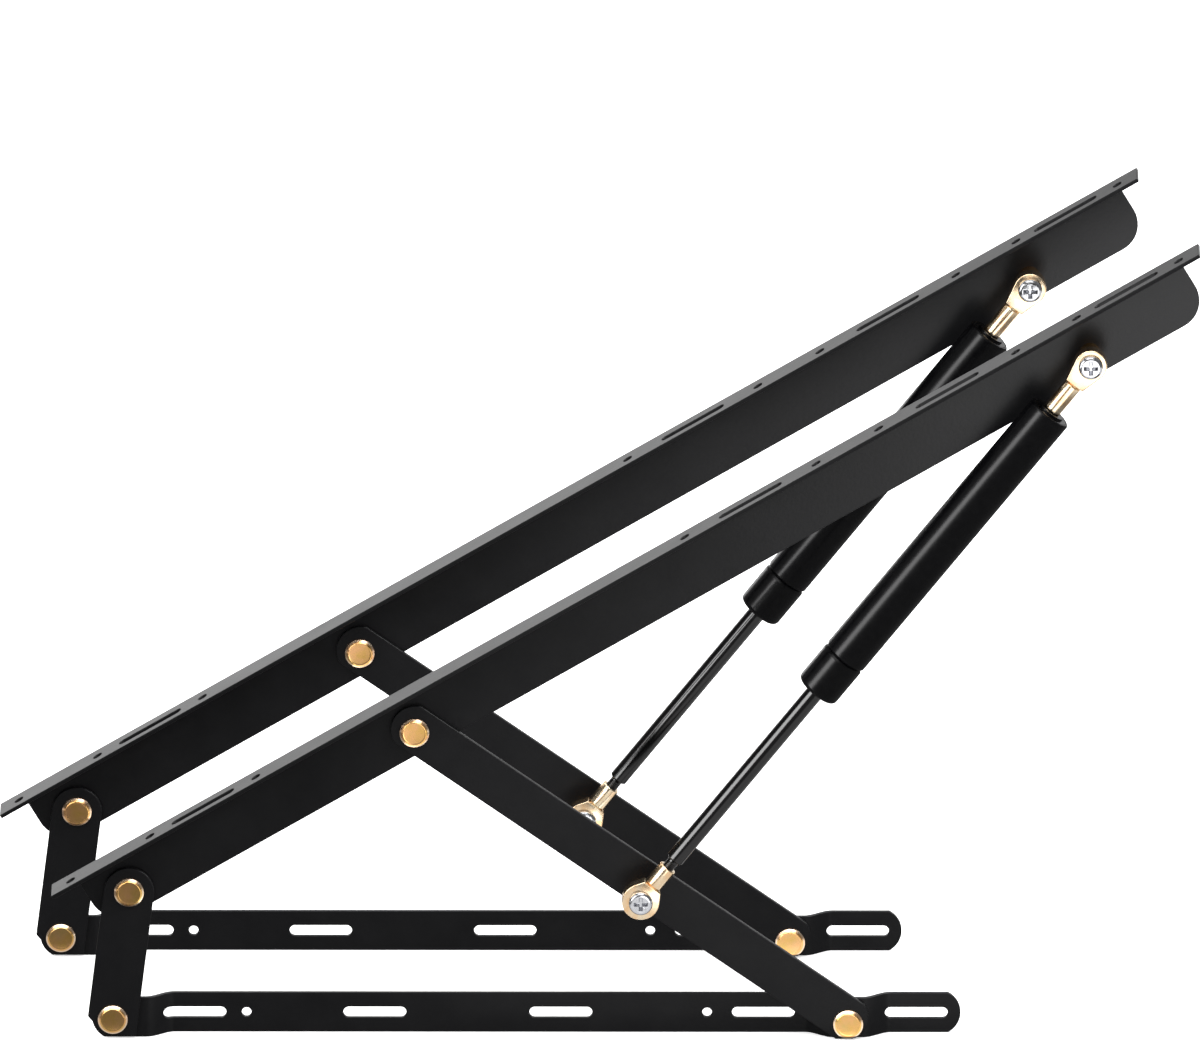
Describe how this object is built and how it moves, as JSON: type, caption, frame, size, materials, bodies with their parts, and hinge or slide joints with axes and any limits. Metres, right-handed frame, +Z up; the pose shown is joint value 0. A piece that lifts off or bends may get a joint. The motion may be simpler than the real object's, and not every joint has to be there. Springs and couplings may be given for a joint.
{
  "type": "bed lift mechanism",
  "caption": "Pair of gas-strut bed lifts: riveted links carry a slotted angle-iron platform rail over a flat-bar base rail and swing it up.",
  "frame": {"origin": "near base rail's back face, at mid-length on its lower edge", "axes": "+X along the rails towards the strut end, +Y from the open side to the mounting board, +Z up"},
  "size_m": [0.7988, 0.209, 0.5594],
  "materials": {
    "black_steel": "satin black powder coat on steel",
    "gloss_black_tube": "gloss black paint on drawn steel tube",
    "black_rod": "black nitrided and polished steel",
    "yellow_zinc": "yellow zinc plated steel",
    "bright_zinc": "bright zinc plated steel",
    "black_nylon": "moulded black nylon",
    "piston_alloy": "turned",
    "guide_bronze": "sintered",
    "seal_rubber": "moulded"
  },
  "bodies": {
    "base": {"near_base_rail": "black_steel", "near_short_link_base_rivet": "yellow_zinc", "near_long_link_base_rivet": "yellow_zinc", "far_base_rail": "black_steel", "far_short_link_base_rivet": "yellow_zinc", "far_long_link_base_rivet": "yellow_zinc"},
    "near_short_arm": {"near_short_link": "black_steel", "near_short_link_base_washer": "black_nylon", "near_short_link_top_washer": "black_nylon"},
    "near_long_arm": {"near_long_link": "black_steel", "near_long_link_base_washer": "black_nylon", "near_long_link_top_washer": "black_nylon", "near_long_link_top_rivet": "yellow_zinc", "near_strut_foot_nut": "bright_zinc"},
    "near_platform": {"near_platform_rail": "black_steel", "near_short_link_top_rivet": "yellow_zinc", "near_long_link_top_rivet_tail": "yellow_zinc", "near_strut_top_bolt": "bright_zinc", "near_strut_top_spacer": "yellow_zinc", "near_strut_top_nut": "bright_zinc"},
    "near_tube": {"near_strut_tube": "gloss_black_tube", "near_strut_end_cap": "gloss_black_tube", "near_strut_end_plug": "gloss_black_tube", "near_strut_rod_guide": "guide_bronze", "near_strut_rod_seal": "seal_rubber", "near_strut_top_eye": "yellow_zinc"},
    "near_rod": {"near_strut_rod": "black_rod", "near_strut_piston": "piston_alloy", "near_strut_piston_ring": "black_nylon", "near_strut_foot_eye": "yellow_zinc", "near_strut_foot_bolt": "bright_zinc", "near_strut_foot_spacer": "yellow_zinc"},
    "far_short_arm": {"far_short_link": "black_steel", "far_short_link_base_washer": "black_nylon", "far_short_link_top_washer": "black_nylon"},
    "far_long_arm": {"far_long_link": "black_steel", "far_long_link_base_washer": "black_nylon", "far_long_link_top_washer": "black_nylon", "far_long_link_top_rivet": "yellow_zinc", "far_strut_foot_nut": "bright_zinc"},
    "far_platform": {"far_platform_rail": "black_steel", "far_short_link_top_rivet": "yellow_zinc", "far_long_link_top_rivet_tail": "yellow_zinc", "far_strut_top_bolt": "bright_zinc", "far_strut_top_spacer": "yellow_zinc", "far_strut_top_nut": "bright_zinc"},
    "far_tube": {"far_strut_tube": "gloss_black_tube", "far_strut_end_cap": "gloss_black_tube", "far_strut_end_plug": "gloss_black_tube", "far_strut_rod_guide": "guide_bronze", "far_strut_rod_seal": "seal_rubber", "far_strut_top_eye": "yellow_zinc"},
    "far_rod": {"far_strut_rod": "black_rod", "far_strut_piston": "piston_alloy", "far_strut_piston_ring": "black_nylon", "far_strut_foot_eye": "yellow_zinc", "far_strut_foot_bolt": "bright_zinc", "far_strut_foot_spacer": "yellow_zinc"}
  },
  "joints": [
    {"name": "near_fold", "type": "hinge", "parent": "base", "child": "near_short_arm", "pos_m": [-0.2755, -0.0155, 0.014], "axis": [0, -1, 0], "range_deg": [0, 74.1], "stiffness_Nm_per_rad": 410, "springref_deg": 1.23},
    {"name": "near_platform_tilt", "type": "hinge", "parent": "near_short_arm", "child": "near_platform", "pos_m": [-0.2642, -0.0155, 0.10409], "axis": [0, -1, 0], "range_deg": [-104.85, 0], "stiffness_Nm_per_rad": 390, "springref_deg": 1.56},
    {"name": "near_long_arm_swing", "type": "hinge", "parent": "base", "child": "near_long_arm", "pos_m": [0.2145, -0.0155, 0.011], "axis": [0, -1, 0], "range_deg": [0, 29.32], "stiffness_Nm_per_rad": 20, "springref_deg": -1.52},
    {"name": "near_strut_tilt", "type": "hinge", "parent": "near_platform", "child": "near_tube", "pos_m": [0.37295, -0.036, 0.48241], "axis": [0, -1, 0], "range_deg": [-17.12, 0], "stiffness_Nm_per_rad": 59, "springref_deg": -1.1},
    {"name": "near_strut_stroke", "type": "slide", "parent": "near_tube", "child": "near_rod", "axis": [0.619, 0, 0.7854], "range_m": [0, 0.1442], "stiffness_N_per_m": 220, "springref_m": 0.00905},
    {"name": "far_fold", "type": "hinge", "parent": "base", "child": "far_short_arm", "pos_m": [-0.3135, 0.1425, 0.014], "axis": [0, -1, 0], "range_deg": [0, 74.1], "stiffness_Nm_per_rad": 410, "springref_deg": 1.23},
    {"name": "far_platform_tilt", "type": "hinge", "parent": "far_short_arm", "child": "far_platform", "pos_m": [-0.3022, 0.1425, 0.10409], "axis": [0, -1, 0], "range_deg": [-104.85, 0], "stiffness_Nm_per_rad": 390, "springref_deg": 1.56},
    {"name": "far_long_arm_swing", "type": "hinge", "parent": "base", "child": "far_long_arm", "pos_m": [0.1765, 0.1425, 0.011], "axis": [0, -1, 0], "range_deg": [0, 29.32], "stiffness_Nm_per_rad": 20, "springref_deg": -1.52},
    {"name": "far_strut_tilt", "type": "hinge", "parent": "far_platform", "child": "far_tube", "pos_m": [0.33495, 0.122, 0.48241], "axis": [0, -1, 0], "range_deg": [-17.12, 0], "stiffness_Nm_per_rad": 59, "springref_deg": -1.1},
    {"name": "far_strut_stroke", "type": "slide", "parent": "far_tube", "child": "far_rod", "axis": [0.619, 0, 0.7854], "range_m": [0, 0.1442], "stiffness_N_per_m": 220, "springref_m": 0.00905}
  ],
  "couplings": [
    {"joint": "near_platform_tilt", "follows": "near_fold", "ratio": -1.4143},
    {"joint": "near_long_arm_swing", "follows": "near_fold", "ratio": 0.39508},
    {"joint": "near_strut_tilt", "follows": "near_fold", "ratio": -0.23038},
    {"joint": "near_strut_stroke", "follows": "near_fold", "m_per_rad": 0.11135},
    {"joint": "far_platform_tilt", "follows": "far_fold", "ratio": -1.4143},
    {"joint": "far_long_arm_swing", "follows": "far_fold", "ratio": 0.39508},
    {"joint": "far_strut_tilt", "follows": "far_fold", "ratio": -0.23038},
    {"joint": "far_strut_stroke", "follows": "far_fold", "m_per_rad": 0.11135}
  ]
}
